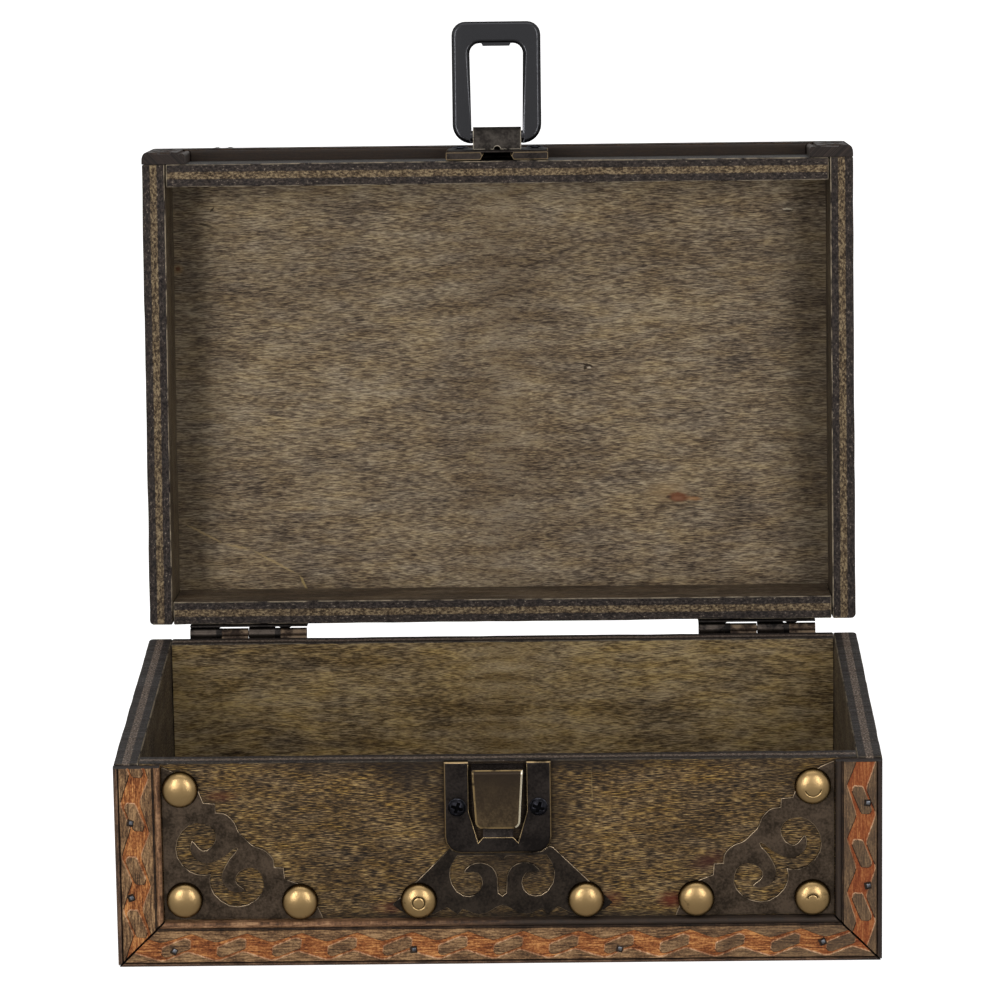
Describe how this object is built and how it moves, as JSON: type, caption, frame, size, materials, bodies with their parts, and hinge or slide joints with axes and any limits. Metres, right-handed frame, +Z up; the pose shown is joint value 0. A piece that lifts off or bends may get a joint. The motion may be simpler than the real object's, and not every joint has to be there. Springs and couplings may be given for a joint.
{
  "type": "treasure chest",
  "caption": "Small wooden keepsake chest with a hinged lid, carved front trims, scroll-cut corner plates under dome tacks, a hook catch and a swinging latch ring.",
  "frame": {"origin": "centre of the underside of the body", "axes": "+Z up, -Y towards the front with the latch, +X towards the right side seen from the front; stored with the lid open and the latch ring square to the lid's front"},
  "size_m": [0.23, 0.2184, 0.2588],
  "materials": {
    "plywood": "stained and varnished three-ply wood",
    "carved_wood": "carved wood with an orange-brown lacquer",
    "dark_metal": "pressed sheet with an antique dark bronze finish",
    "bronze": "pressed sheet, dark bronze with worn bright edges",
    "brass": "polished brass, slightly tarnished",
    "black_steel": "gloss black"
  },
  "bodies": {
    "body": {"floor_board": "plywood", "left_wall": "plywood", "right_wall": "plywood", "front_wall": "plywood", "back_wall": "plywood", "body_trim_left": "carved_wood", "body_trim_right": "carved_wood", "body_trim_bottom": "carved_wood", "corner_plate_left": "dark_metal", "corner_plate_right": "dark_metal", "centre_plate": "dark_metal", "catch_plate": "bronze", "catch_screw_left": "black_steel", "catch_screw_right": "black_steel", "tack_upper_left": "brass", "tack_upper_right": "brass", "tack_corner_left": "brass", "tack_corner_right": "brass", "tack_side_left": "brass", "tack_side_right": "brass", "tack_centre_left": "brass", "tack_centre_right": "brass", "hinge_left_body_leaf": "dark_metal", "hinge_left_pin": "dark_metal", "hinge_left_body_screw_outer": "dark_metal", "hinge_left_body_screw_inner": "dark_metal", "hinge_right_body_leaf": "dark_metal", "hinge_right_pin": "dark_metal", "hinge_right_body_screw_outer": "dark_metal", "hinge_right_body_screw_inner": "dark_metal"},
    "lid": {"lid_top_board": "plywood", "lid_left_wall": "plywood", "lid_right_wall": "plywood", "lid_front_wall": "plywood", "lid_back_wall": "plywood", "lid_trim_left": "carved_wood", "lid_trim_right": "carved_wood", "lid_trim_top": "carved_wood", "ring_plate": "dark_metal", "ring_plate_screw_left": "black_steel", "ring_plate_screw_right": "black_steel", "hinge_left_lid_leaf": "dark_metal", "hinge_left_lid_screw_outer": "dark_metal", "hinge_left_lid_screw_inner": "dark_metal", "hinge_right_lid_leaf": "dark_metal", "hinge_right_lid_screw_outer": "dark_metal", "hinge_right_lid_screw_inner": "dark_metal"},
    "ring": {"latch_ring": "black_steel"}
  },
  "joints": [
    {"name": "lid_hinge", "type": "hinge", "parent": "body", "child": "lid", "pos_m": [0, 0.078, 0.0638], "axis": [1, 0, 0], "range_deg": [0, 97.3]},
    {"name": "ring_hinge", "type": "hinge", "parent": "lid", "child": "ring", "pos_m": [0, 0.10701, 0.22179], "axis": [1, 0, 0], "range_deg": [-90, 92]}
  ]
}
